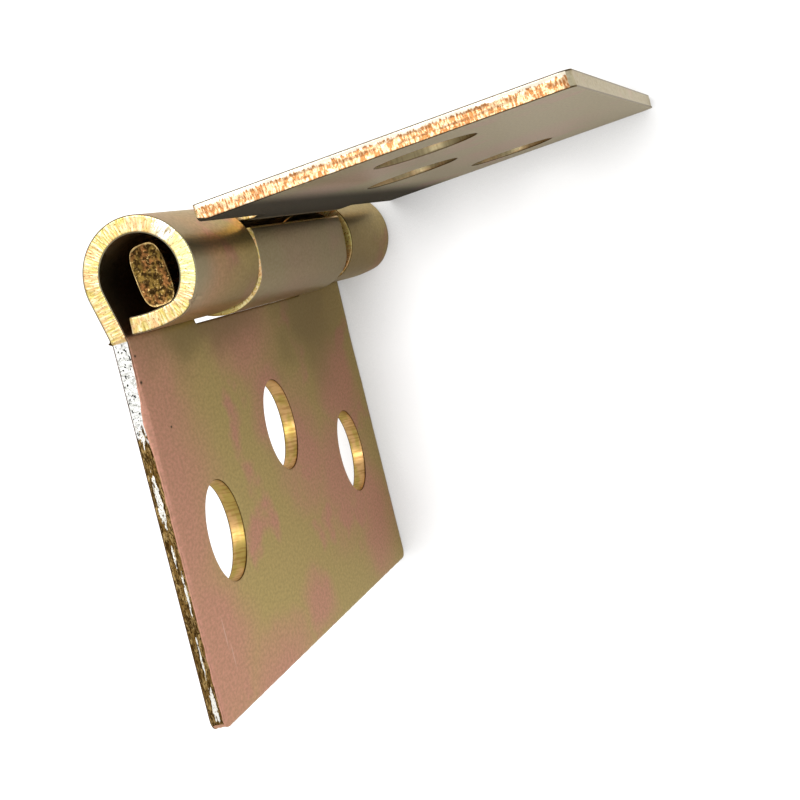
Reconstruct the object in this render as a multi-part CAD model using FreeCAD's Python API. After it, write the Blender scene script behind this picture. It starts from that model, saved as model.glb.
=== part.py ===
# Folding door hinge of pressed steel: two leaves rolled round one loose pin.
# Millimetres, +Z up. The hinge stands on one end, its pin upright.
# Each leaf is drawn by its section: s runs along the leaf away from the pin,
# n runs outward, to the side that lies against the door or its frame.

import FreeCAD, Part
import math
import os

# Overall sizes
LENGTH = 50.0  # along the pin
REACH = 28.5  # pin axis to the free edge of either leaf
OPENING = 95.0  # angle between the two leaves as they stand, degrees

# Sheet and rolled knuckle
SHEET = 1.1  # thickness of the sheet
BORE_RADIUS = 2.58  # inside of the rolled knuckle
OUTER_FACE = 2.9  # outer face of the leaf from the pin axis
NECK_ANGLE = 14.0  # slope of the sheet between leaf and knuckle, degrees
NECK_BEND = 3.0  # bend at the neck, to the middle of the sheet
ROLL_END = -48.0  # where the round roll gives way to the tight bend, degrees
CORNER_BEND = 1.6  # tight bend before the lip, to the middle of the sheet
LIP_TILT = 15.2  # lip off square to the leaf where it starts, degrees
LIP_BEND = 8.8  # slow curve of the lip, to the middle of the sheet
LIP_GAP = 0.35  # end of the lip to the inner face of the leaf

# Knuckles along the pin and the notches beside them
END_KNUCKLE = 12.5  # length of each end knuckle, both on the fixed leaf
RUNNING_GAP = 1.0  # between neighbouring knuckles
FIXED_NOTCH = 3.95  # notch edge of the fixed leaf from the pin axis
MOVING_NOTCH = 4.55  # notch edges of the moving leaf from the pin axis
SHEAR_STEP = 0.15  # sheared leaf ends lie this far inside the knuckle ends
STEP_START = 3.85  # the step starts this far from the pin axis
CORNER_RADIUS = 0.8  # rounding of the free corners, seen square to the leaf

# Screw holes, plain punched
HOLE_RADIUS = 3.4
OUTER_HOLE_REACH = 17.4  # the two end holes from the pin axis
MIDDLE_HOLE_REACH = 12.65  # the middle hole from the pin axis
HOLE_INSET = 8.5  # end holes from the end of the hinge

# Pin with pinched ends
PIN_RADIUS = 2.0
PIN_RECESS = 2.0  # pin end below the knuckle end
PINCH_LENGTH = 3.0  # flat part of the pinched end
PINCH_RUNOUT = 2.5  # from the flat part to the round shank
PINCH_WIDTH = 4.05
PINCH_THICKNESS = 2.0
PINCH_TURN = -7.3  # long way of the pinched end off the leaf, degrees
PINCH_SHIFT = 0.1  # middle of the pinched end along the leaf
PIN_ROUNDING = 0.2

# Sizes that follow from the ones above
HALF = SHEET / 2
ROLL = BORE_RADIUS + HALF
MIDDLE = OUTER_FACE - HALF
INNER_FACE = OUTER_FACE - SHEET
BEYOND = 2 * ROLL  # how far cutting blocks reach past the sheet


def turned(radius, degrees, centre=(0.0, 0.0)):
    """Point at an angle on a circle, in section coordinates s, n."""
    angle = math.radians(degrees)
    return (centre[0] + radius * math.cos(angle), centre[1] + radius * math.sin(angle))


class Leaf:
    """Directions of one leaf, square to the pin."""

    def __init__(self, direction, outward):
        self.along = FreeCAD.Vector(*turned(1.0, direction), 0)
        self.outward = FreeCAD.Vector(*turned(1.0, outward), 0)

    def point(self, s, n, z):
        return self.along * s + self.outward * n + FreeCAD.Vector(0, 0, z)


def section_arcs():
    """The four bends of the sheet's middle line, from the leaf to the lip's end.

    Each is its centre, its radius, its first and last angle, and 1 where the
    outer side of the sheet is the outside of the bend, -1 where it is the inside.
    """
    slope = math.radians(NECK_ANGLE)
    neck_n = MIDDLE + NECK_BEND
    neck_s = (ROLL + NECK_BEND - neck_n * math.cos(slope)) / math.sin(slope)
    corner = turned(ROLL - CORNER_BEND, ROLL_END)
    lip = turned(CORNER_BEND - LIP_BEND, -LIP_TILT, corner)
    lip_rise = INNER_FACE - LIP_GAP - lip[1]
    lip_end = math.degrees(math.asin(lip_rise / (LIP_BEND + HALF)))
    return [
        ((neck_s, neck_n), NECK_BEND, -90.0, -90.0 - NECK_ANGLE, -1),
        ((0.0, 0.0), ROLL, 90.0 - NECK_ANGLE, 360.0 + ROLL_END, 1),
        (corner, CORNER_BEND, ROLL_END, -LIP_TILT, 1),
        (lip, LIP_BEND, -LIP_TILT, lip_end, 1),
    ]


def sheet_side(leaf, offset, z):
    """Edges of one side of the sheet, from the free edge to the lip's end."""
    edges = []
    free = leaf.point(REACH, MIDDLE + offset, z)
    last = free
    for centre, radius, first, final, side in section_arcs():
        reach = radius + side * offset
        start = leaf.point(*turned(reach, first, centre), z)
        middle = leaf.point(*turned(reach, (first + final) / 2, centre), z)
        end = leaf.point(*turned(reach, final, centre), z)
        if last.distanceToPoint(start) > 0.001:
            edges.append(Part.LineSegment(last, start).toShape())
        edges.append(Part.Arc(start, middle, end).toShape())
        last = end
    return edges, free, last


def rolled_sheet(leaf, bottom, top):
    """The whole leaf with its knuckle running the full length."""
    outer, outer_free, outer_end = sheet_side(leaf, HALF, bottom)
    inner, inner_free, inner_end = sheet_side(leaf, -HALF, bottom)
    lip_cap = Part.LineSegment(outer_end, inner_end).toShape()
    free_cap = Part.LineSegment(inner_free, outer_free).toShape()
    wire = Part.Wire(outer + [lip_cap] + inner[::-1] + [free_cap])
    return Part.Face(wire).extrude(FreeCAD.Vector(0, 0, top - bottom))


def block(leaf, s_low, s_high, bottom, top):
    """Cutting block across the sheet."""
    corners = [
        leaf.point(s_low, -BEYOND, bottom),
        leaf.point(s_high, -BEYOND, bottom),
        leaf.point(s_high, BEYOND, bottom),
        leaf.point(s_low, BEYOND, bottom),
    ]
    face = Part.Face(Part.makePolygon(corners + corners[:1]))
    return face.extrude(FreeCAD.Vector(0, 0, top - bottom))


def screw_hole(leaf, reach, z):
    """Cutter for one screw hole, square through the leaf."""
    start = leaf.point(reach, INNER_FACE - SHEET, z)
    return Part.makeCylinder(HOLE_RADIUS, 3 * SHEET, start, leaf.outward)


def with_holes(leaf, sheet):
    places = [
        (OUTER_HOLE_REACH, HOLE_INSET),
        (MIDDLE_HOLE_REACH, LENGTH / 2),
        (OUTER_HOLE_REACH, LENGTH - HOLE_INSET),
    ]
    return sheet.cut([screw_hole(leaf, reach, z) for reach, z in places])


def with_round_corners(leaf, sheet):
    """Round the two free corners of the leaf."""
    found = []
    for edge in sheet.Edges:
        middle = edge.CenterOfMass
        at_free_edge = abs(middle.dot(leaf.along) - REACH) < 0.01
        across_sheet = abs(edge.Length - SHEET) < 0.01
        if at_free_edge and across_sheet:
            found.append(edge)
    return sheet.makeFillet(CORNER_RADIUS, found)


def make_fixed_leaf(leaf):
    sheet = rolled_sheet(leaf, 0.0, LENGTH)
    cutters = [
        block(leaf, -BEYOND, FIXED_NOTCH, END_KNUCKLE, LENGTH - END_KNUCKLE),
        block(leaf, STEP_START, REACH + BEYOND, -BEYOND, SHEAR_STEP),
        block(leaf, STEP_START, REACH + BEYOND, LENGTH - SHEAR_STEP, LENGTH + BEYOND),
    ]
    sheet = sheet.cut(cutters)
    return with_round_corners(leaf, with_holes(leaf, sheet))


def make_moving_leaf(leaf):
    sheet = rolled_sheet(leaf, SHEAR_STEP, LENGTH - SHEAR_STEP)
    notch = END_KNUCKLE + RUNNING_GAP
    cutters = [
        block(leaf, -BEYOND, MOVING_NOTCH, -BEYOND, notch),
        block(leaf, -BEYOND, MOVING_NOTCH, LENGTH - notch, LENGTH + BEYOND),
    ]
    sheet = sheet.cut(cutters)
    return with_round_corners(leaf, with_holes(leaf, sheet))


def pinched_wire(leaf, z):
    """Outline of the pinched pin end: two flats joined by two round sides."""
    half_width = PINCH_WIDTH / 2 - PINCH_THICKNESS / 2
    half_thick = PINCH_THICKNESS / 2
    middle = (PINCH_SHIFT, 0.0)
    right = turned(half_width, PINCH_TURN, middle)
    left = turned(half_width, PINCH_TURN + 180.0, middle)
    right_low = leaf.point(*turned(half_thick, PINCH_TURN - 90.0, right), z)
    right_tip = leaf.point(*turned(half_thick, PINCH_TURN, right), z)
    right_high = leaf.point(*turned(half_thick, PINCH_TURN + 90.0, right), z)
    left_high = leaf.point(*turned(half_thick, PINCH_TURN + 90.0, left), z)
    left_tip = leaf.point(*turned(half_thick, PINCH_TURN + 180.0, left), z)
    left_low = leaf.point(*turned(half_thick, PINCH_TURN + 270.0, left), z)
    return Part.Wire([
        Part.Arc(right_low, right_tip, right_high).toShape(),
        Part.LineSegment(right_high, left_high).toShape(),
        Part.Arc(left_high, left_tip, left_low).toShape(),
        Part.LineSegment(left_low, right_low).toShape(),
    ])


def round_wire(leaf, z):
    """The round shank's outline, in four arcs that meet the pinched outline."""
    spread = 45.0
    marks = [-spread, 0.0, spread, 90.0, 180.0 - spread, 180.0, 180.0 + spread, 270.0]
    spots = [leaf.point(*turned(PIN_RADIUS, PINCH_TURN + mark), z) for mark in marks]
    arcs = []
    for first in (0, 2, 4, 6):
        ends = (spots[first], spots[first + 1], spots[(first + 2) % 8])
        arcs.append(Part.Arc(*ends).toShape())
    return Part.Wire(arcs)


def make_pin(leaf):
    """Round shank with both ends pinched flat."""
    low, high = PIN_RECESS, LENGTH - PIN_RECESS
    run = PINCH_LENGTH + PINCH_RUNOUT
    shank = Part.Face(round_wire(leaf, low + run)).extrude(
        FreeCAD.Vector(0, 0, high - low - 2 * run))
    pieces = []
    for end, step in ((low, 1), (high, -1)):
        flat_stop = end + step * PINCH_LENGTH
        shank_start = end + step * run
        flat = Part.Face(pinched_wire(leaf, end)).extrude(
            FreeCAD.Vector(0, 0, step * PINCH_LENGTH))
        tip = [e for e in flat.Edges if abs(e.CenterOfMass.z - end) < 0.01]
        flat = flat.makeFillet(PIN_ROUNDING, tip)
        wires = [pinched_wire(leaf, flat_stop), round_wire(leaf, shank_start)]
        pieces.append(flat)
        pieces.append(Part.makeLoft(wires, True, True))
    return shank.fuse(pieces).removeSplitter()


fixed = Leaf(-90.0, 180.0)
moving = Leaf(-90.0 + OPENING, OPENING)
shapes = {
    "fixed_leaf": make_fixed_leaf(fixed),
    "moving_leaf": make_moving_leaf(moving),
    "pin": make_pin(fixed),
}

# The frame's origin is the middle of the footprint the hinge stands on.
extent = FreeCAD.BoundBox()
for shape in shapes.values():
    extent.add(shape.BoundBox)
centring = FreeCAD.Vector(-extent.Center.x, -extent.Center.y, 0)

os.makedirs("parts", exist_ok=True)
for node, shape in shapes.items():
    solid = shape.Solids[0]
    solid.translate(centring)
    print(node, len(shape.Solids), solid.isValid(), round(solid.Volume, 2), solid.BoundBox)
    solid.exportStep("parts/" + node + ".step")
print("pin axis at", centring)
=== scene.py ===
import math

import bmesh
import bpy
from mathutils import Matrix, Vector, geometry, noise


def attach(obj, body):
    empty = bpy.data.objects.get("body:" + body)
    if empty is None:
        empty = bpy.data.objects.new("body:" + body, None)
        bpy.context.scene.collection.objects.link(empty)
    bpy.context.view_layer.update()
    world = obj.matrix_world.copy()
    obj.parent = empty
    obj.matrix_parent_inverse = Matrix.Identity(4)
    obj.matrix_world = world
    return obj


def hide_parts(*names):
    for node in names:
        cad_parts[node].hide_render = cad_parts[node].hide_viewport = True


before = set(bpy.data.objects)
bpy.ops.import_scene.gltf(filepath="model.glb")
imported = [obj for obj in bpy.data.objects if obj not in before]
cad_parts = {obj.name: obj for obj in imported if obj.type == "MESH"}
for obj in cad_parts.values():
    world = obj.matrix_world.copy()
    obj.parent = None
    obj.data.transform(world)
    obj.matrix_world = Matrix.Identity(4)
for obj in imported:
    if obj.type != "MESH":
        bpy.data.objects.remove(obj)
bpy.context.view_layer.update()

# Sizes of the part, in millimetres
MM = 0.001
AXIS_X = -12.277334
AXIS_Y = 11.563548
LENGTH = 50.0
REACH = 28.5
OPENING = 95.0
SHEET = 1.1
BORE_RADIUS = 2.58
OUTER_FACE = 2.9
NECK_ANGLE = 14.0
NECK_BEND = 3.0
ROLL_END = -48.0
CORNER_BEND = 1.6
LIP_TILT = 15.2
LIP_BEND = 8.8
LIP_GAP = 0.35
END_KNUCKLE = 12.5
RUNNING_GAP = 1.0
MOVING_NOTCH = 4.55
SHEAR_STEP = 0.15
CORNER_RADIUS = 0.8
HOLE_RADIUS = 3.4
OUTER_HOLE_REACH = 17.4
MIDDLE_HOLE_REACH = 12.65
HOLE_INSET = 8.5
PIN_RADIUS = 2.0
PIN_RECESS = 2.0
PINCH_LENGTH = 3.0
PINCH_RUNOUT = 2.5
PINCH_WIDTH = 4.05
PINCH_THICKNESS = 2.25
PINCH_SQUARENESS = 3.4
PINCH_TURN = -7.3
PINCH_SHIFT = 0.1
HALF = SHEET / 2
ROLL = BORE_RADIUS + HALF
MIDDLE = OUTER_FACE - HALF
INNER_FACE = OUTER_FACE - SHEET

# Notch edge and step of the fixed leaf from the pin axis
FIXED_NOTCH = 3.75
STEP_START = 3.6
STEP_WIDTH = 0.1

# How finely the sheet is drawn, in millimetres
RUN_STEP = 0.1
INSETS = (0.0, 0.03, 0.09, 0.17, 0.3, 0.6)
INNER_MARGIN = 1.2
FAR_MARGIN = 1.0
LIP_MARGIN = 0.8
CORE_INSET = 0.9
FLAT_STEP = 1.3
BENT_STEP = 0.25
BENT_FROM = REACH - 5.0
WALL_LEVELS = 10
WALL_FADE = 0.4
CORNER_STEPS = 5
SMOOTH_ANGLE = math.radians(50)

# Roundings of the sheet's edges, in millimetres
SMALL_CORNER = 0.2
SHARP_EDGE = 0.06
HOLE_EDGE = 0.07
WORN_KNUCKLE_EDGE = 0.22
WORN_FROM_NOTCH = 1.5
WORN_STRIP = 0.15
NOTCH_EDGE = 0.3
NOTCH_EDGE_REACH = 0.7
NOTCH_EDGE_FALL = 0.34

# The inner edge that the shear rolled over: its usual rounding and its peak
ROLLED_LEAST = 0.08
ROLLED_MORE = 0.15
ROLLED_RUN = 5.0
ROLLED_DEPTH, ROLLED_WAVES = 0.06, (1.4, 1.0, 31.0)
PEAK_ROUNDING = 0.16
PEAK_PLACE = 9.0
PEAK_SPREAD = 1.6

# Which walls are plated like the face, and which are torn
FREE_EDGE_WALL = 0.5
END_WALL = 0.3
FIXED_TORN_UNTIL = REACH - STEP_START - 0.05
MOVING_TORN_UNTIL = REACH - MOVING_NOTCH - 0.1

# The near end of the fixed leaf: its tear, its burr and the crack of its roll
TEAR_START = REACH - 9.4
BURR_PLACE = REACH - STEP_START + 0.03
BURR_HEIGHT = 0.2
BURR_WIDTH = 0.1
BURR_LENGTH = 0.25
CRACK_ANGLE = 309.0
CRACK_DEPTH = 0.2
CRACK_WIDTH = 0.09
CRACK_LENGTH = 0.5
MARKED_HEIGHT = 0.2

# Rough walls: how far back and how deep, waves per millimetre along and across, seed
HOLE_DEPTH, HOLE_WAVES = 0.012, (2.0, 0.8, 11.0)
CUT_DEPTH, CUT_WAVES = 0.014, (5.0, 1.2, 5.0)
RUBBED_BACK = 0.015
RUB_DEPTH, RUB_WAVES = 0.012, (1.5, 3.0, 3.0)
PIT_DEPTH, PIT_WAVES, PIT_LEVEL = 0.14, (3.3, 3.6, 23.0), 0.35
TORN_BACK = 0.05
RIDGE_DEPTH, RIDGE_WAVES = 0.055, (0.45, 5.5, 7.0)
FIBRE_DEPTH, FIBRE_WAVES = 0.03, (1.6, 9.0, 19.0)

# Material slots of a leaf's mesh
FACE, CUT, TORN, HOLE = 0, 1, 2, 3


def on_circle(radius, degrees, centre=(0.0, 0.0)):
    angle = math.radians(degrees)
    return (centre[0] + radius * math.cos(angle), centre[1] + radius * math.sin(angle))


def section_bends():
    """Bends of the sheet's middle line: centre, radius, two angles, outer side."""
    slope = math.radians(NECK_ANGLE)
    neck_n = MIDDLE + NECK_BEND
    neck_s = (ROLL + NECK_BEND - neck_n * math.cos(slope)) / math.sin(slope)
    corner = on_circle(ROLL - CORNER_BEND, ROLL_END)
    lip = on_circle(CORNER_BEND - LIP_BEND, -LIP_TILT, corner)
    lip_rise = INNER_FACE - LIP_GAP - lip[1]
    lip_end = math.degrees(math.asin(lip_rise / (LIP_BEND + HALF)))
    return [
        ((neck_s, neck_n), NECK_BEND, -90.0, -90.0 - NECK_ANGLE, -1),
        ((0.0, 0.0), ROLL, 90.0 - NECK_ANGLE, 360.0 + ROLL_END, 1),
        (corner, CORNER_BEND, ROLL_END, -LIP_TILT, 1),
        (lip, LIP_BEND, -LIP_TILT, lip_end, 1),
    ]


class MiddleLine:
    """The sheet's middle line, walked from the free edge to the lip's end."""

    def __init__(self):
        self.parts = []
        self.roll_start = 0.0
        last = (REACH, MIDDLE)
        walked = 0.0
        for centre, radius, first, final, side in section_bends():
            start = on_circle(radius, first, centre)
            straight = math.dist(last, start)
            if straight > 0.001:
                self.parts.append((straight, "line", last, start))
                walked += straight
            if radius == ROLL:
                self.roll_start = walked
            bend = radius * math.radians(abs(final - first))
            self.parts.append((bend, "bend", centre, radius, first, final, side))
            walked += bend
            last = on_circle(radius, final, centre)
        self.length = walked

    def place(self, distance):
        """Point on the line and the direction of the sheet's outer side there."""
        left = distance
        for part in self.parts:
            if left <= part[0] or part is self.parts[-1]:
                break
            left -= part[0]
        if part[1] == "line":
            start, end = part[2], part[3]
            along = ((end[0] - start[0]) / part[0], (end[1] - start[1]) / part[0])
            point = (start[0] + along[0] * left, start[1] + along[1] * left)
            return point, (along[1], -along[0])
        centre, radius, first, final, side = part[2:]
        angle = first + (final - first) * left / part[0]
        return on_circle(radius, angle, centre), on_circle(float(side), angle)

    def on_roll(self, degrees):
        """Distance along the line of an angle on the round roll."""
        return self.roll_start + ROLL * math.radians(degrees - 90.0 + NECK_ANGLE)


LINE = MiddleLine()


class Leaf:
    """Turns section coordinates of one leaf into the part's frame, in metres."""

    def __init__(self, direction, outward):
        self.along = on_circle(1.0, direction)
        self.outward = on_circle(1.0, outward)

    def point(self, s, n, z):
        x = AXIS_X + self.along[0] * s + self.outward[0] * n
        y = AXIS_Y + self.along[1] * s + self.outward[1] * n
        return Vector((x, y, z)) * MM


# Outlines of the flat blanks, distance from the free edge against height


def fixed_outline():
    """Each corner is its place and its rounding."""
    notch = REACH - FIXED_NOTCH
    low, high = END_KNUCKLE, LENGTH - END_KNUCKLE
    return [
        (LINE.length, 0.0, SMALL_CORNER),
        (LINE.length, low, SMALL_CORNER),
        (notch, low, SMALL_CORNER),
        (notch, high, SMALL_CORNER),
        (LINE.length, high, SMALL_CORNER),
        (LINE.length, LENGTH, SMALL_CORNER),
        (0.0, LENGTH, CORNER_RADIUS),
        (0.0, 0.0, CORNER_RADIUS),
    ]


def moving_outline():
    """The middle goes on into the knuckle, between two notches."""
    notch = REACH - MOVING_NOTCH
    bottom, top = SHEAR_STEP, LENGTH - SHEAR_STEP
    low = END_KNUCKLE + RUNNING_GAP
    high = LENGTH - low
    return [
        (LINE.length, low, SMALL_CORNER),
        (LINE.length, high, SMALL_CORNER),
        (notch, high, SMALL_CORNER),
        (notch, top, SMALL_CORNER),
        (0.0, top, CORNER_RADIUS),
        (0.0, bottom, CORNER_RADIUS),
        (notch, bottom, SMALL_CORNER),
        (notch, low, SMALL_CORNER),
    ]


def moved_corners(corners, inset):
    """Corners moved inward, with the directions into and out of each."""
    found = []
    for i in range(len(corners)):
        before = Vector(corners[i - 1][:2])
        here = Vector(corners[i][:2])
        after = Vector(corners[(i + 1) % len(corners)][:2])
        into = (here - before).normalized()
        out = (after - here).normalized()
        inward = Vector((-into.y, into.x)) + Vector((-out.y, out.x))
        found.append((here + inward * inset, into, out))
    return found


def rounded_loop(corners, inset):
    """Closed outline with round corners, moved inward, anticlockwise."""
    arcs = []
    for (place, into, out), corner in zip(moved_corners(corners, inset), corners):
        turn = 1.0 if into.cross(out) > 0 else -1.0
        radius = max(corner[2] - turn * inset, 0.01)
        start = place - into * radius
        centre = start + Vector((-into.y, into.x)) * radius * turn
        arc = []
        for k in range(CORNER_STEPS + 1):
            swing = Matrix.Rotation(turn * math.pi / 2 * k / CORNER_STEPS, 2)
            arc.append(centre + swing @ (start - centre))
        arcs.append(arc)
    loop = []
    for i in range(len(corners)):
        here = Vector(corners[i][:2])
        after = Vector(corners[(i + 1) % len(corners)][:2])
        steps = max(2, round((after - here).length / RUN_STEP))
        start, stop = arcs[i][-1], arcs[(i + 1) % len(corners)][0]
        loop += arcs[i] + [start.lerp(stop, k / steps) for k in range(1, steps)]
    return loop


def hole_loop(centre, inset):
    """Round hole, clockwise, so that the sheet lies on the same side of it."""
    steps = round(2 * math.pi * HOLE_RADIUS / RUN_STEP)
    turns = [-360.0 * k / steps for k in range(steps)]
    return [Vector(on_circle(HOLE_RADIUS + inset, turn, centre)) for turn in turns]


def inside(corners, place):
    """Whether a point lies inside straight-sided corners."""
    within = False
    for i in range(len(corners)):
        a, b = corners[i - 1], corners[i]
        if (a.y > place.y) != (b.y > place.y):
            if place.x < a.x + (b.x - a.x) * (place.y - a.y) / (b.y - a.y):
                within = not within
    return within


def rounding_drop(inset, rounding):
    """How far the face lies below its level, at a distance from the edge."""
    if inset >= rounding:
        return 0.0
    return rounding - math.sqrt(rounding ** 2 - (rounding - inset) ** 2)


def waves(x, y, sizes):
    """Smooth noise between about -1 and 1, by its waves per millimetre and its seed."""
    long, tall, seed = sizes
    return noise.noise(Vector((x * long, y * tall, seed)))


class SheetMesh:
    """A flat blank with round edges and rough cut walls, bent along the section."""

    def __init__(self, leaf, corners, wall_kind, rounding, steps_back, dent):
        self.leaf = leaf
        self.rounding = rounding
        self.wall_kind = wall_kind
        self.steps_back = steps_back
        self.dent = dent
        self.verts, self.faces, self.kinds = [], [], []
        self.flat, self.section, self.rim = [], [], []
        self.holes = [
            Vector((REACH - OUTER_HOLE_REACH, HOLE_INSET)),
            Vector((REACH - MIDDLE_HOLE_REACH, LENGTH / 2)),
            Vector((REACH - OUTER_HOLE_REACH, LENGTH - HOLE_INSET)),
        ]
        self.core = [corner[0] for corner in moved_corners(corners, CORE_INSET)]
        rings = [[rounded_loop(corners, inset) for inset in INSETS]]
        rings += [[hole_loop(hole, inset) for inset in INSETS] for hole in self.holes]
        tops = self.add_side(rings, 1)
        bottoms = self.add_side(rings, -1)
        for number, ring in enumerate(rings):
            self.add_wall(ring[0], tops[number], bottoms[number], number > 0)

    def stepped(self, d, z):
        """The sheared ends of the fixed leaf lie inside its knuckles' ends."""
        if not self.steps_back:
            return z
        step = min(max((REACH - STEP_START - d) / STEP_WIDTH, 0.0), 1.0) * SHEAR_STEP
        if z < INNER_MARGIN:
            return z + step * (1 - z / INNER_MARGIN)
        if z > LENGTH - INNER_MARGIN:
            return z - step * (1 - (LENGTH - z) / INNER_MARGIN)
        return z

    def add_vertex(self, d, z, height, rim):
        height += self.dent(d, z, height)
        (s, n), out = LINE.place(d)
        s += out[0] * height
        n += out[1] * height
        z = self.stepped(d, z)
        self.verts.append(self.leaf.point(s, n, z))
        self.flat.append((d, z, height))
        self.section.append((s, n, z))
        self.rim.append(rim)
        return len(self.verts) - 1

    def strip_kind(self, side, place, inset, is_hole):
        """Beside its end the middle knuckle's outside is worn to bright metal."""
        on_roll = place.x > REACH - MOVING_NOTCH + WORN_FROM_NOTCH and not is_hole
        worn = on_roll and side > 0 and inset < WORN_STRIP and not self.steps_back
        return CUT if worn else FACE

    def edge_rounding(self, side, place, is_hole):
        return HOLE_EDGE if is_hole else self.rounding(side, place)

    def add_side(self, rings, side):
        """One face of the sheet. Returns the outermost row of each outline."""
        outer_rows = []
        points, constraints = [], []
        for number, ring in enumerate(rings):
            rows = []
            for inset, loop in zip(INSETS, ring):
                rim = 1.0 - inset / INSETS[-1]
                row = []
                for p in loop:
                    rounding = self.edge_rounding(side, p, number > 0)
                    height = side * (HALF - rounding_drop(inset, rounding))
                    row.append(self.add_vertex(p.x, p.y, height, rim))
                rows.append(row)
            for low, high, inset in zip(rows, rows[1:], INSETS):
                kinds = [self.strip_kind(side, p, inset, number > 0) for p in ring[0]]
                self.add_strip(low, high, kinds)
            outer_rows.append(rows[0])
            first, size = len(points), len(rows[-1])
            points += list(zip(ring[-1], rows[-1]))
            constraints += [(first + k, first + (k + 1) % size) for k in range(size)]
        for place in self.inner_points():
            points.append((place, self.add_vertex(place.x, place.y, side * HALF, 0.0)))
        self.fill(points, constraints)
        return outer_rows

    def inner_points(self):
        """Grid inside the blank, closer where the sheet is bent."""
        places = []
        rows = int((LENGTH - FAR_MARGIN - INNER_MARGIN) / FLAT_STEP) + 1
        clear = HOLE_RADIUS + CORE_INSET
        d = INNER_MARGIN
        while d < LINE.length - LIP_MARGIN:
            for row in range(rows):
                place = Vector((d, INNER_MARGIN + row * FLAT_STEP))
                far = all((place - hole).length > clear for hole in self.holes)
                if far and inside(self.core, place):
                    places.append(place)
            d += FLAT_STEP if d < BENT_FROM else BENT_STEP
        return places

    def fill(self, points, constraints):
        """Triangles between the edge rows and the grid, but none over a hole."""
        places = [point[0] for point in points]
        made = geometry.delaunay_2d_cdt(places, constraints, [], 1, 1e-6)
        coords, triangles, origins = made[0], made[2], made[3]
        radius = HOLE_RADIUS + INSETS[-1] + 0.001
        for triangle in triangles:
            over_hole = False
            for hole in self.holes:
                reaches = [(coords[k] - hole).length for k in triangle]
                over_hole = over_hole or max(reaches) < radius
            if over_hole:
                continue
            self.faces.append(tuple(points[origins[k][0]][1] for k in triangle))
            self.kinds.append(FACE)

    def add_strip(self, low, high, kinds):
        for k in range(len(low)):
            after = (k + 1) % len(low)
            self.faces.append((low[k], low[after], high[after], high[k]))
            self.kinds.append(kinds[k])

    def add_wall(self, loop, tops, bottoms, is_hole):
        """The cut wall between the two faces, pushed in where it is torn."""
        kinds, normals, ends = [], [], []
        for k, p in enumerate(loop):
            kinds.append(HOLE if is_hole else self.wall_kind(p))
            top = HALF - self.edge_rounding(1, p, is_hole)
            bottom = self.edge_rounding(-1, p, is_hole) - HALF
            ends.append((top, bottom))
            along = loop[(k + 1) % len(loop)] - loop[k - 1]
            normals.append(Vector((along.y, -along.x)).normalized())
        last = tops
        for level in range(1, WALL_LEVELS):
            fade = min(1.0, WALL_FADE * min(level, WALL_LEVELS - level))
            row = []
            for p, normal, kind, (top, bottom) in zip(loop, normals, kinds, ends):
                height = top + (bottom - top) * level / WALL_LEVELS
                moved = p - normal * wall_push(kind, p, height) * fade
                row.append(self.add_vertex(moved.x, moved.y, height, 1.0))
            self.add_strip(last, row, kinds)
            last = row
        self.add_strip(last, bottoms, kinds)

    def make(self, name, body, node, finishes):
        mesh = bpy.data.meshes.new(name)
        mesh.from_pydata(self.verts, [], self.faces)
        for finish in finishes:
            mesh.materials.append(finish)
        mesh.polygons.foreach_set("material_index", self.kinds)
        store_vectors(mesh, "flat", self.flat)
        store_vectors(mesh, "section", self.section)
        mesh.attributes.new("rim", "FLOAT", "POINT").data.foreach_set("value", self.rim)
        return finish_piece(mesh, name, body, node)


def wall_push(kind, place, height):
    """How far a wall is pushed into the sheet, in millimetres."""
    along = place.x + place.y
    if kind == HOLE:
        return HOLE_DEPTH * waves(along, height, HOLE_WAVES)
    if kind == CUT:
        return CUT_DEPTH * waves(along, height, CUT_WAVES)
    if place.x > TEAR_START:
        rub = waves(along, height, RUB_WAVES)
        pits = max(waves(along, height, PIT_WAVES) - PIT_LEVEL, 0.0)
        return RUBBED_BACK + RUB_DEPTH * rub + PIT_DEPTH * pits
    ridge = waves(along, height, RIDGE_WAVES)
    fibres = waves(along, height, FIBRE_WAVES)
    return TORN_BACK + RIDGE_DEPTH * ridge + FIBRE_DEPTH * fibres


def store_vectors(mesh, name, values):
    data = mesh.attributes.new(name, "FLOAT_VECTOR", "POINT").data
    data.foreach_set("vector", [number for value in values for number in value])


def finish_piece(mesh, name, body, node):
    """Close the normals, shade it smooth and hand it over to the frame."""
    work = bmesh.new()
    work.from_mesh(mesh)
    bmesh.ops.recalc_face_normals(work, faces=work.faces)
    for edge in work.edges:
        if len(edge.link_faces) == 2:
            edge.smooth = edge.calc_face_angle() < SMOOTH_ANGLE
    for face in work.faces:
        face.smooth = True
    work.to_mesh(mesh)
    work.free()
    piece = bpy.data.objects.new(name, mesh)
    bpy.context.scene.collection.objects.link(piece)
    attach(piece, body)
    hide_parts(node)
    return piece


# What differs between the two leaves


def fixed_dent(d, z, height):
    """Burr at the shear step and crack in the bend, at the near end only."""
    if height < MARKED_HEIGHT:
        return 0.0
    to_end = LENGTH - z
    to_burr = (d - BURR_PLACE) / BURR_WIDTH
    to_crack = (d - LINE.on_roll(CRACK_ANGLE)) / CRACK_WIDTH
    burr = BURR_HEIGHT * math.exp(-to_burr ** 2 - (to_end / BURR_LENGTH) ** 2)
    crack = CRACK_DEPTH * math.exp(-to_crack ** 2 - (to_end / CRACK_LENGTH) ** 2)
    return burr - crack


def no_dent(d, z, height):
    return 0.0


def leaf_wall(place, torn_until):
    """The free edge is plated, the leaf's own ends are torn, the rest is cut clean."""
    if place.x < FREE_EDGE_WALL:
        return FACE
    at_end = min(place.y, LENGTH - place.y) < END_WALL
    return TORN if at_end and place.x < torn_until else CUT


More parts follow.
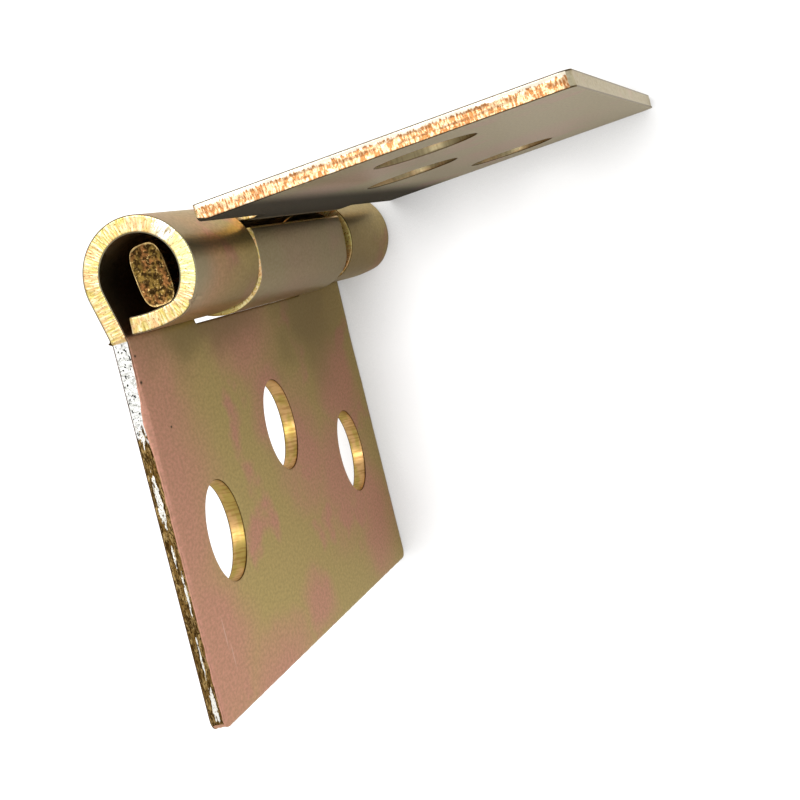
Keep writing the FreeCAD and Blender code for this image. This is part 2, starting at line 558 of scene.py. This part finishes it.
def fixed_wall(place):
    return leaf_wall(place, FIXED_TORN_UNTIL)


def moving_wall(place):
    return leaf_wall(place, MOVING_TORN_UNTIL)


def fixed_rounding(side, place):
    """The shear rolled the inner face over, most of all where the tear starts."""
    if side > 0 or place.x > REACH - STEP_START:
        return SHARP_EDGE
    from_pin = REACH - place.x
    share = min(max((from_pin - STEP_START) / ROLLED_RUN, 0.0), 1.0)
    peak = math.exp(-((from_pin - PEAK_PLACE) / PEAK_SPREAD) ** 2)
    rolled = ROLLED_LEAST + ROLLED_MORE * share + PEAK_ROUNDING * peak
    return rolled + ROLLED_DEPTH * waves(place.x, place.y, ROLLED_WAVES) * share


def moving_rounding(side, place):
    """Sharp, but for the notch's inner edges and the worn knuckle ends."""
    from_notch = place.x - REACH + MOVING_NOTCH
    if side > 0 and from_notch > WORN_FROM_NOTCH:
        return WORN_KNUCKLE_EDGE
    if side > 0 or abs(from_notch) > NOTCH_EDGE_REACH:
        return SHARP_EDGE
    return NOTCH_EDGE - NOTCH_EDGE_FALL * abs(from_notch)


# Pin

# Rows of points from a tip inward: rings of the tip, its bevel as shares of the
# outline with their depths, the pinched stretch, its run-out, the shank from its middle
PIN_SIDES = 120
TIP_RINGS = 18
TIP_HOLLOW = 0.1
TIP_RISE = 0.09
TIP_BEVEL = [(0.975, 0.03), (0.993, 0.08)]
PINCH_DEPTHS = (0.18, 0.4, 0.8, 1.4, 2.0, 2.6, PINCH_LENGTH)
RUNOUT_ROWS = 8
SHANK_ROWS = (15, 10, 5, 0, -5, -10, -15)

# The tip's roughness, and the width of its rim, which carries a painted highlight, as a share
DENT_DEPTH, DENT_WAVES = 0.09, (1.4, 1.4, 3.0)
GRIT_DEPTH, GRIT_WAVES = 0.05, (4.0, 4.0, 8.0)
RIM_WIDTH = 0.16


def pinched_point(turn):
    """Outline of the pinched end, a rectangle with well rounded corners."""
    x, y = on_circle(1.0, turn)
    power = 2 / PINCH_SQUARENESS
    x = math.copysign(abs(x) ** power, x) * PINCH_WIDTH / 2
    y = math.copysign(abs(y) ** power, y) * PINCH_THICKNESS / 2
    return Vector((x, y))


def pin_place(turn, pinch, shrink):
    """Point of a row around the axis, between the round and the pinched outline."""
    pinched = pinched_point(turn) + Vector((PINCH_SHIFT, 0.0))
    round_place = Vector(on_circle(PIN_RADIUS, turn))
    place = round_place.lerp(pinched, pinch) * shrink
    return Matrix.Rotation(math.radians(PINCH_TURN), 2) @ place


def tip_roughness(turn, shrink):
    """How far the cut-off tip is dented, inside its bevel."""
    if shrink >= TIP_BEVEL[0][0]:
        return 0.0
    x, y = pinched_point(turn) * shrink
    return abs(DENT_DEPTH * waves(x, y, DENT_WAVES) + GRIT_DEPTH * waves(x, y, GRIT_WAVES))


def pin_stations():
    """Rows of one end: share of the outline, depth from the tip, share of the pinch."""
    stations = []
    for k in range(1, TIP_RINGS):
        shrink = k / TIP_RINGS
        stations.append((shrink, TIP_HOLLOW - TIP_RISE * shrink ** 3, 1.0))
    stations += [(shrink, depth, 1.0) for shrink, depth in TIP_BEVEL]
    stations += [(1.0, depth, 1.0) for depth in PINCH_DEPTHS]
    for k in range(1, RUNOUT_ROWS + 1):
        share = k / RUNOUT_ROWS
        pinch = 1 - (3 * share ** 2 - 2 * share ** 3)
        stations.append((1.0, PINCH_LENGTH + share * PINCH_RUNOUT, pinch))
    return stations


def pin_rows():
    """Rows from the top tip down to the low one, each with its height."""
    low, high = PIN_RECESS, LENGTH - PIN_RECESS
    stations = pin_stations()
    rows = [(shrink, high - depth, pinch) for shrink, depth, pinch in stations]
    rows += [(1.0, LENGTH / 2 + k, 0.0) for k in SHANK_ROWS]
    rows += [(shrink, low + depth, pinch) for shrink, depth, pinch in stations[::-1]]
    return rows


def make_pin(leaf, finish):
    """Shank with pinched ends whose tips are rough from being cut off."""
    rows = pin_rows()
    verts, places, rims, faces = [], [], [], []
    for shrink, z, pinch in rows:
        inward = -1.0 if z > LENGTH / 2 else 1.0
        rim = min(max((shrink - 1.0 + RIM_WIDTH) / RIM_WIDTH, 0.0), 1.0)
        for side in range(PIN_SIDES):
            turn = 360.0 * side / PIN_SIDES
            place = pin_place(turn, pinch, shrink)
            height = z + inward * tip_roughness(turn, shrink)
            verts.append(leaf.point(place.x, place.y, height))
            places.append((place.x, place.y, height))
            rims.append(rim)
    for row in range(len(rows) - 1):
        for side in range(PIN_SIDES):
            after = (side + 1) % PIN_SIDES
            low = row * PIN_SIDES
            high = low + PIN_SIDES
            faces.append((low + side, low + after, high + after, high + side))
    faces.append(tuple(range(PIN_SIDES)))
    faces.append(tuple(range(len(verts) - PIN_SIDES, len(verts))))
    mesh = bpy.data.meshes.new("pin_shape")
    mesh.from_pydata(verts, [], faces)
    mesh.materials.append(finish)
    store_vectors(mesh, "section", places)
    mesh.attributes.new("rim", "FLOAT", "POINT").data.foreach_set("value", rims)
    return finish_piece(mesh, "pin_shape", "fixed", "pin")


# Finishes


def paint(red, green, blue):
    """Colour from its screen values of 0 to 255."""
    linear = []
    for value in (red / 255, green / 255, blue / 255):
        linear.append(value / 12.92 if value < 0.04 else ((value + 0.055) / 1.055) ** 2.4)
    return (*linear, 1.0)


# Colour of reflections at grazing angles, and the mix node's colour sockets
GRAZING_TINT = (0.85, 0.78, 0.66, 1.0)
MIX_FIRST, MIX_SECOND, MIX_RESULT = 6, 7, 2


class Finish:
    """One material and the nodes that colour it. Its lengths are in millimetres."""

    def __init__(self, name, metallic, roughness):
        self.material = bpy.data.materials.new(name)
        self.material.use_nodes = True
        self.tree = self.material.node_tree
        self.shader = self.tree.nodes["Principled BSDF"]
        self.shader.inputs["Metallic"].default_value = metallic
        self.shader.inputs["Roughness"].default_value = roughness
        self.shader.inputs["Specular Tint"].default_value = GRAZING_TINT

    def node(self, kind, **settings):
        made = self.tree.nodes.new(kind)
        for key, value in settings.items():
            setattr(made, key, value)
        return made

    def feed(self, socket, value):
        if isinstance(value, bpy.types.NodeSocket):
            self.tree.links.new(value, socket)
        else:
            socket.default_value = value

    def attribute(self, name):
        return self.node("ShaderNodeAttribute", attribute_name=name).outputs["Vector"]

    def number(self, name):
        return self.node("ShaderNodeAttribute", attribute_name=name).outputs["Fac"]

    def axis(self, vector, name):
        split = self.node("ShaderNodeSeparateXYZ")
        self.feed(split.inputs[0], vector)
        return split.outputs[name]

    def calc(self, operation, first, second=0.0):
        made = self.node("ShaderNodeMath", operation=operation)
        self.feed(made.inputs[0], first)
        self.feed(made.inputs[1], second)
        return made.outputs[0]

    def vector_calc(self, operation, vector, other):
        made = self.node("ShaderNodeVectorMath", operation=operation)
        self.feed(made.inputs[0], vector)
        self.feed(made.inputs[1], other)
        return made.outputs[0]

    def noise(self, vector, stretch, detail=2.0):
        scaled = self.vector_calc("MULTIPLY", vector, stretch)
        made = self.node("ShaderNodeTexNoise")
        self.feed(made.inputs["Vector"], scaled)
        self.feed(made.inputs["Scale"], 1.0)
        self.feed(made.inputs["Detail"], detail)
        return made.outputs[0]

    def centred(self, value):
        """A value of about 0.5 turned into a vector of about nothing."""
        made = self.node("ShaderNodeCombineXYZ")
        for k in range(3):
            self.feed(made.inputs[k], self.calc("SUBTRACT", value, 0.5))
        return made.outputs[0]

    def between(self, value, low, high):
        """Rises smoothly from 0 to 1 as value goes from low to high."""
        made = self.node("ShaderNodeMapRange", interpolation_type="SMOOTHSTEP")
        self.feed(made.inputs["Value"], value)
        self.feed(made.inputs["From Min"], low)
        self.feed(made.inputs["From Max"], high)
        return made.outputs[0]

    def spot(self, vector, centre, reach):
        """Soft patch, 1 at its centre and 0 from its reach outward."""
        offset = self.vector_calc("SUBTRACT", vector, centre)
        sizes = tuple(1.0 / size for size in reach)
        scaled = self.vector_calc("MULTIPLY", offset, sizes)
        length = self.node("ShaderNodeVectorMath", operation="LENGTH")
        self.feed(length.inputs[0], scaled)
        return self.between(length.outputs["Value"], 1.0, 0.2)

    def mix(self, share, first, second):
        made = self.node("ShaderNodeMix", data_type="RGBA")
        self.feed(made.inputs[0], share)
        self.feed(made.inputs[MIX_FIRST], first)
        self.feed(made.inputs[MIX_SECOND], second)
        return made.outputs[MIX_RESULT]

    def bump(self, height, depth):
        made = self.node("ShaderNodeBump")
        self.feed(made.inputs["Height"], height)
        self.feed(made.inputs["Distance"], depth * MM)
        self.feed(self.shader.inputs["Normal"], made.outputs[0])

    def dull(self, least, value, more):
        """Roughness from least upward with a value of 0 to 1."""
        rough = self.calc("ADD", least, self.calc("MULTIPLY", value, more))
        self.feed(self.shader.inputs["Roughness"], rough)

    def colour(self, value):
        self.feed(self.shader.inputs["Base Color"], value)
        return self.material


# Reach from the pin and height of each soft patch, and its spread: pink patches in the plating,
# and patches of painted shade beside the fixed leaf's knuckle
FIXED_PINK = [
    ((12.0, 50.5), (26.0, 14.0)),
    ((24.0, 48.5), (13.0, 11.0)),
    ((28.8, 38.0), (5.5, 13.0)),
    ((4.5, 29.0), (6.5, 10.5)),
    ((10.5, 25.5), (6.5, 6.5)),
    ((15.5, 21.0), (7.0, 8.0)),
    ((19.0, 14.5), (7.0, 9.5)),
    ((23.0, 6.5), (8.0, 8.5)),
    ((12.5, 8.0), (6.0, 8.0)),
    ((26.0, 26.0), (3.8, 5.5)),
]
# Patches of painted shade beside the fixed leaf's knuckle
FIXED_SHADE = [((4.0, 12.0), (9.0, 16.0)), ((3.0, 34.0), (4.5, 22.0))]
MOVING_PINK = [((12.0, 40.0), (8.0, 9.0)), ((20.0, 18.0), (8.0, 10.0)), ((0.0, 25.0), (5.0, 9.0))]
EVERYWHERE = 1000.0
PINK = paint(206, 150, 130)
OLIVE = paint(190, 170, 110)
GREY_PINK = paint(196, 170, 156)
GREY_OLIVE = paint(186, 178, 150)
# Dark olive, for the fine specks and for the painted shade beside the knuckles
DARK_OLIVE = paint(122, 104, 68)
# Near black, for the fixed leaf's soil specks and for the painted shade in the moving leaf's
# corner
SOIL_AND_SHADE = paint(30, 25, 17)
BROWN_LINE = paint(64, 46, 22)
WORN_GREY = paint(146, 144, 118)
BARE_SCRATCH = paint(226, 200, 190)
GRAIN = (5.0, 5.0, 2.6)
GRAIN_DEPTH = 0.01
DRIFT = (0.22, 0.22, 0.15)
DRIFT_SHIFT = (6.0, 0.0, 9.0)

# Dark lines: nearness to the edge and depth below the face, where they start and are full
LINE_ON_WALL = ((0.96, 0.99), (0.1, 0.05))
LINE_ON_FACE = ((0.9, 1.0), (0.16, 0.06))


def on_face(made, place, spot):
    (reach, height), (long, tall) = spot
    return made.spot(place, (reach, 0.0, height), (long, EVERYWHERE, tall))


def any_of(made, place, spots):
    """Share of the strongest of several patches."""
    share = 0.0
    for spot in spots:
        share = made.calc("MAXIMUM", share, on_face(made, place, spot))
    return share


def edge_lines(made, colour, line=LINE_ON_WALL):
    """Thin dark lines where the walls meet the two faces."""
    near_edge, below_face = line
    height = made.calc("ABSOLUTE", made.axis(made.attribute("flat"), "Z"))
    by_height = made.between(height, HALF - below_face[0], HALF - below_face[1])
    by_rim = made.between(made.number("rim"), *near_edge)
    return made.mix(made.calc("MULTIPLY", by_height, by_rim), colour, BROWN_LINE)


def face_finish(name, olive, pink, pink_spots, shade_spots):
    """Iridescent plating: soft pink patches on olive over a fine grain, darkened by painted shade
    in the given spots.
    """
    made = Finish(name, 1.0, 0.3)
    section = made.attribute("section")
    drift = made.noise(section, DRIFT, 3.0)
    shift = made.vector_calc("MULTIPLY", made.centred(drift), DRIFT_SHIFT)
    place = made.vector_calc("ADD", section, shift)
    patches = any_of(made, place, pink_spots)
    share = made.calc("MAXIMUM", made.between(drift, 0.54, 0.68), patches)
    colour = made.mix(share, olive, pink)
    # Painted shade: the given spots turn dark olive
    spot_shade = made.calc("MULTIPLY", any_of(made, place, shade_spots), 0.75)
    colour = made.mix(spot_shade, colour, DARK_OLIVE)
    grain = made.noise(section, GRAIN, 4.0)
    specks = made.calc("MULTIPLY", made.between(grain, 0.3, 0.7), 0.35)
    colour = made.mix(specks, colour, DARK_OLIVE)
    made.bump(grain, GRAIN_DEPTH)
    return made, section, edge_lines(made, colour, LINE_ON_FACE)


# Marks on the fixed leaf: a worn knuckle end, specks of soil and two light scratches
WORN_KNUCKLE = ((0.0, 50.0), (4.6, 5.0))
SPECKS = [((6.35, 49.5), (0.16, 0.3)), ((4.7, 49.4), (0.12, 0.25)), ((9.6, 46.5), (0.13, 0.22))]
SCRATCHES = [((23.2, 46.4), (1.5, 0.12)), ((24.8, 45.9), (1.2, 0.1))]


def fixed_face_finish():
    """Olive and pink plating with a worn knuckle, specks and scratches."""
    made, section, colour = face_finish("fixed_face", OLIVE, PINK, FIXED_PINK, FIXED_SHADE)
    made.dull(0.28, made.noise(section, GRAIN, 4.0), 0.1)
    worn = made.calc("MULTIPLY", on_face(made, section, WORN_KNUCKLE), 0.8)
    colour = made.mix(worn, colour, WORN_GREY)
    colour = made.mix(any_of(made, section, SPECKS), colour, SOIL_AND_SHADE)
    light = made.calc("MULTIPLY", any_of(made, section, SCRATCHES), 0.5)
    return made.colour(made.mix(light, colour, BARE_SCRATCH))


def moving_face_finish():
    """Greyer plating with painted shade: darker towards its knuckle, near black, rough and not
    metallic in the inner corner beside it.
    """
    made, section, colour = face_finish("moving_face", GREY_OLIVE, GREY_PINK, MOVING_PINK, [])
    made.shader.inputs["Specular IOR Level"].default_value = 0.2
    reach = made.axis(section, "X")
    # Painted shade: darker olive towards the knuckle
    knuckle_shade = made.between(reach, 6.0, 3.8)
    colour = made.mix(made.calc("MULTIPLY", knuckle_shade, 0.45), colour, DARK_OLIVE)
    # Painted shade: the inner face in the corner beside the knuckle turns near black, rough and
    # not metallic
    inner = made.between(made.axis(made.attribute("flat"), "Z"), 0.0, -0.3)
    beyond, before = made.between(reach, 3.4, 4.0), made.between(reach, 12.0, 7.5)
    corner = made.calc("MULTIPLY", before, beyond)
    corner_shade = made.calc("MULTIPLY", made.calc("MULTIPLY", corner, inner), 0.95)
    made.feed(made.shader.inputs["Metallic"], made.calc("SUBTRACT", 1.0, corner_shade))
    made.dull(0.28, corner_shade, 0.6)
    return made.colour(made.mix(corner_shade, colour, SOIL_AND_SHADE))


# Cut ends of the roll: colours, the yellow stretch and the rubbed patch with their spreads
GOLD = paint(200, 180, 104)
WARM_GOLD = paint(222, 178, 126)
PALE_GOLD = paint(234, 216, 172)
YELLOW_GOLD = paint(228, 224, 156)
GOLD_PITS = paint(148, 108, 48)
RUBBED_WHITE = paint(240, 238, 232)
RUBBED_GOLD = paint(176, 164, 132)
YELLOW_STRETCH = ((-0.2, -3.2, 0.0), (2.6, 1.4, EVERYWHERE))
RUBBED_PATCH = ((-2.5, -2.3, LENGTH), (1.7, 1.4, 1.0))
GOLD_LINES = (6.0, 6.0, 1.2)
GOLD_SPECKS = (9.0, 9.0, 6.0)
GOLD_BLOTCHES = (0.9, 0.9, 0.9)
GOLD_LINE_DEPTH = 0.03


def cut_finish():
    """Clean cut ends of the roll: pale gold lines, one rubbed patch."""
    made = Finish("cut_steel", 1.0, 0.34)
    section, flat = made.attribute("section"), made.attribute("flat")
    lines = made.noise(flat, GOLD_LINES)
    specks = made.noise(flat, GOLD_SPECKS)
    blotches = made.noise(section, GOLD_BLOTCHES)
    gold = made.mix(made.between(blotches, 0.4, 0.6), GOLD, WARM_GOLD)
    gold = made.mix(made.between(lines, 0.42, 0.7), gold, PALE_GOLD)
    yellow = made.spot(section, *YELLOW_STRETCH)
    gold = made.mix(made.calc("MULTIPLY", yellow, 0.8), gold, YELLOW_GOLD)
    patch = made.spot(section, *RUBBED_PATCH)
    ragged = made.calc("ADD", patch, made.calc("MULTIPLY", specks, 2.0))
    silver = made.mix(made.between(lines, 0.5, 0.62), RUBBED_WHITE, RUBBED_GOLD)
    gold = made.mix(made.between(ragged, 1.55, 1.85), gold, silver)
    pits = made.calc("MULTIPLY", made.between(specks, 0.56, 0.66), 0.7)
    made.bump(lines, GOLD_LINE_DEPTH)
    return made.colour(edge_lines(made, made.mix(pits, gold, GOLD_PITS)))


# Torn and rubbed edge: colours of the fibres, of the streaks and of the rubbed steel
DARK_FIBRES = paint(62, 42, 14)
LIGHT_FIBRES = paint(176, 146, 92)
BROWN_KNOTS = paint(116, 88, 44)
DEEP_FIBRES = paint(58, 42, 18)
WHITE_STREAK = paint(240, 238, 230)
STREAK_SHADE = paint(132, 112, 76)
BRIGHT_STEEL = paint(238, 238, 234)
GREY_STEEL = paint(196, 196, 190)
STEEL_SPECKS = paint(44, 44, 40)
FIBRES = (2.6, 2.6, 10.0)
FINE_FIBRES = (6.0, 6.0, 14.0)
KNOTS = (0.8, 0.8, 3.0)
STEEL_GRAIN = (5.0, 5.0, 7.0)
GREY_BANDS = (9.0, 4.0, 3.0)
TORN_DEPTH = 0.06

# Silver streaks on the torn edge: place from the free edge and across the sheet, spread
STREAKS = [
    ((19.2, 0.15), (1.6, 0.26)),
    ((14.8, 0.12), (2.6, 0.3)),
    ((11.2, 0.10), (1.2, 0.12)),
    ((8.8, -0.10), (2.2, 0.12)),
    ((5.0, 0.05), (2.3, 0.10)),
    ((1.6, 0.0), (2.0, 0.28)),
]


def torn_finish():
    """Bright rubbed steel near the knuckle, then brown torn fibres."""
    made = Finish("torn_edge", 1.0, 0.36)
    flat = made.attribute("flat")
    reach = made.axis(flat, "X")
    fibres = made.noise(flat, FIBRES, 4.0)
    fine = made.noise(flat, FINE_FIBRES, 4.0)
    knots = made.noise(flat, KNOTS, 3.0)
    brown = made.mix(made.between(fibres, 0.4, 0.66), DARK_FIBRES, LIGHT_FIBRES)
    brown = made.mix(made.between(knots, 0.35, 0.55), BROWN_KNOTS, brown)
    brown = made.mix(made.between(fine, 0.54, 0.6), brown, DEEP_FIBRES)
    share = made.calc("MULTIPLY", any_of(made, flat, STREAKS), 0.8)
    white = made.mix(made.between(fine, 0.55, 0.62), WHITE_STREAK, STREAK_SHADE)
    ragged = made.calc("ADD", share, made.calc("MULTIPLY", fibres, 1.8))
    torn = made.mix(made.between(ragged, 1.3, 1.38), brown, white)
    specks = made.noise(flat, STEEL_GRAIN, 4.0)
    grey = made.noise(flat, GREY_BANDS, 3.0)
    silver = made.mix(made.between(grey, 0.45, 0.65), BRIGHT_STEEL, GREY_STEEL)
    silver = made.mix(made.between(specks, 0.57, 0.63), silver, STEEL_SPECKS)
    start = made.calc("ADD", reach, made.calc("MULTIPLY", knots, 5.0))
    near = made.between(start, TEAR_START + 2.6, TEAR_START + 2.9)
    made.bump(fibres, TORN_DEPTH)
    return made.colour(edge_lines(made, made.mix(near, torn, silver)))


# Sheared ends of the moving leaf
COPPER = paint(176, 118, 70)
PALE_COPPER = paint(236, 200, 156)
CREAM_PATCHES = paint(246, 222, 192)
CREAM_BAND = paint(252, 242, 220)
COPPER_LINES = (8.0, 8.0, 2.6)
COPPER_PATCHES = (1.1, 1.1, 1.6)
COPPER_LINE_DEPTH = 0.05


def copper_finish():
    """Coppery lines under a cream band on the sheet's outer side."""
    made = Finish("copper_edge", 1.0, 0.38)
    flat = made.attribute("flat")
    lines = made.noise(flat, COPPER_LINES, 4.0)
    patches = made.noise(flat, COPPER_PATCHES)
    copper = made.mix(made.between(lines, 0.42, 0.62), COPPER, PALE_COPPER)
    copper = made.mix(made.between(patches, 0.6, 0.68), copper, CREAM_PATCHES)
    border = made.calc("ADD", made.axis(flat, "Z"), made.calc("MULTIPLY", lines, 0.5))
    colour = made.mix(made.between(border, 0.48, 0.54), copper, CREAM_BAND)
    made.bump(lines, COPPER_LINE_DEPTH)
    return made.colour(edge_lines(made, colour))


# Walls of the holes: main colour, second colour and stain
GOLD_WALLS = (paint(172, 148, 80), paint(198, 158, 104), paint(132, 92, 44))
GREY_WALLS = (paint(148, 136, 104), paint(160, 136, 100), paint(108, 94, 66))
HOLE_PATCHES = (0.5, 0.5, 1.2)
HOLE_LINES = (5.0, 5.0, 0.8)


def hole_finish(name, main, second, stain):
    """Punched hole walls in two patchy colours under thin lines."""
    made = Finish(name, 1.0, 0.36)
    flat = made.attribute("flat")
    patches = made.noise(flat, HOLE_PATCHES)
    lines = made.noise(flat, HOLE_LINES)
    colour = made.mix(made.between(patches, 0.4, 0.6), main, second)
    streaks = made.calc("MULTIPLY", made.between(lines, 0.45, 0.65), 0.45)
    made.dull(0.3, lines, 0.16)
    return made.colour(edge_lines(made, made.mix(streaks, colour, stain)))


# Pin: patches of two colours under a mottle and a grit, and the painted highlight on the rim of
# its tips
PIN_OLIVE = paint(120, 96, 46)
PIN_BROWN = paint(136, 92, 52)
PIN_MOTTLE = paint(56, 40, 18)
PIN_GRIT = paint(176, 146, 92)
PIN_RIM_HIGHLIGHT = paint(206, 176, 118)
PATCH_SIZES = (0.8, 1.0, 0.3)
MOTTLE_SIZES = (3.2, 3.2, 1.0)
GRIT_SIZES = (7.0, 7.0, 2.2)
MOTTLE_DEPTH = 0.08


def pin_finish():
    """Dull brown and olive, with a painted highlight on the rim round each tip."""
    made = Finish("pin_steel", 1.0, 0.45)
    place = made.attribute("section")
    patches = made.noise(place, PATCH_SIZES)
    mottle = made.noise(place, MOTTLE_SIZES, 4.0)
    grit = made.noise(place, GRIT_SIZES, 3.0)
    colour = made.mix(made.between(patches, 0.42, 0.58), PIN_OLIVE, PIN_BROWN)
    colour = made.mix(made.between(mottle, 0.42, 0.58), colour, PIN_MOTTLE)
    colour = made.mix(made.between(grit, 0.6, 0.68), colour, PIN_GRIT)
    # Painted highlight: the rim of each tip turns bright, broken up by the mottle
    rim_highlight = made.between(made.calc("ADD", made.number("rim"), mottle), 1.0, 1.3)
    from_middle = made.calc("SUBTRACT", made.axis(place, "Z"), LENGTH / 2)
    end = LENGTH / 2 - PIN_RECESS
    tip = made.between(made.calc("ABSOLUTE", from_middle), end - 0.15, end - 0.05)
    colour = made.mix(made.calc("MULTIPLY", rim_highlight, tip), colour, PIN_RIM_HIGHLIGHT)
    made.bump(mottle, MOTTLE_DEPTH)
    return made.colour(colour)


# Stage

# Camera: its place in metres and its three directions
CAMERA_PLACE = Vector((0.028014, 0.008896, 0.152507))
CAMERA_RIGHT = Vector((0.94493, -0.23878, -0.22381))
CAMERA_UP = Vector((0.21333, 0.96801, -0.13209))
CAMERA_BACK = Vector((0.24819, 0.07707, 0.96564))
LENS = 81.02
SENSOR_WIDTH = 36.0

# Floor and light
FLOOR_HALF = 1.5
FLOOR_WHITE = (0.82, 0.82, 0.82, 1.0)
SHADOW_GREY = (0.35, 0.35, 0.35, 1.0)
SHADOW_REACH = 0.0075
GLOW = 0.92
KEY_PLACE = Vector((-0.12, 0.2, 0.55))
KEY_TARGET = Vector((0.0, 0.0, 0.03))
KEY_SIZE = 0.2
KEY_WATTS = 1.1


def make_camera():
    data = bpy.data.cameras.new("camera")
    data.lens = LENS
    data.sensor_width = SENSOR_WIDTH
    data.clip_start = 0.005
    camera = bpy.data.objects.new("camera", data)
    rows = zip(CAMERA_RIGHT, CAMERA_UP, CAMERA_BACK, CAMERA_PLACE)
    camera.matrix_world = Matrix([list(row) for row in rows] + [[0, 0, 0, 1]])
    bpy.context.scene.collection.objects.link(camera)
    bpy.context.scene.camera = camera


def make_lamp():
    data = bpy.data.lights.new("key", "AREA")
    data.size = KEY_SIZE
    data.energy = KEY_WATTS
    lamp = bpy.data.objects.new("key", data)
    lamp.location = KEY_PLACE
    lamp.rotation_euler = (KEY_TARGET - KEY_PLACE).to_track_quat("-Z", "Y").to_euler()
    bpy.context.scene.collection.objects.link(lamp)


def make_floor():
    """White floor that glows to the camera except close to the part."""
    mesh = bpy.data.meshes.new("floor")
    half = FLOOR_HALF
    corners = [(-half, -half, 0), (half, -half, 0), (half, half, 0), (-half, half, 0)]
    mesh.from_pydata(corners, [], [(0, 1, 2, 3)])
    floor = bpy.data.objects.new("floor", mesh)
    bpy.context.scene.collection.objects.link(floor)
    made = Finish("floor", 0.0, 0.95)
    seen = made.node("ShaderNodeLightPath").outputs["Is Camera Ray"]
    made.feed(made.shader.inputs["Base Color"], made.mix(seen, FLOOR_WHITE, SHADOW_GREY))
    near = made.node("ShaderNodeAmbientOcclusion", samples=8)
    made.feed(near.inputs["Distance"], SHADOW_REACH)
    glow = made.calc("MULTIPLY", made.calc("MULTIPLY", seen, near.outputs["AO"]), GLOW)
    made.feed(made.shader.inputs["Emission Color"], (1.0, 1.0, 1.0, 1.0))
    made.feed(made.shader.inputs["Emission Strength"], glow)
    mesh.materials.append(made.material)


def make_world():
    world = bpy.data.worlds.new("studio")
    world.use_nodes = True
    back = world.node_tree.nodes["Background"]
    back.inputs["Color"].default_value = (1, 1, 1, 1)
    back.inputs["Strength"].default_value = 1.0
    bpy.context.scene.world = world


fixed = Leaf(-90.0, 180.0)
moving = Leaf(OPENING - 90.0, OPENING)
fixed_face = fixed_face_finish()
moving_face = moving_face_finish()
cut = cut_finish()
gold_walls = hole_finish("hole_wall", *GOLD_WALLS)
grey_walls = hole_finish("dull_hole_wall", *GREY_WALLS)
fixed_finishes = [fixed_face, cut, torn_finish(), gold_walls]
moving_finishes = [moving_face, cut, copper_finish(), grey_walls]

fixed_sheet = SheetMesh(fixed, fixed_outline(), fixed_wall, fixed_rounding, True, fixed_dent)
fixed_sheet.make("fixed_sheet", "fixed", "fixed_leaf", fixed_finishes)
moving_sheet = SheetMesh(moving, moving_outline(), moving_wall, moving_rounding, False, no_dent)
moving_sheet.make("moving_sheet", "moving", "moving_leaf", moving_finishes)
make_pin(fixed, pin_finish())

make_camera()
make_floor()
make_world()
make_lamp()
bpy.context.scene.view_settings.view_transform = "Standard"
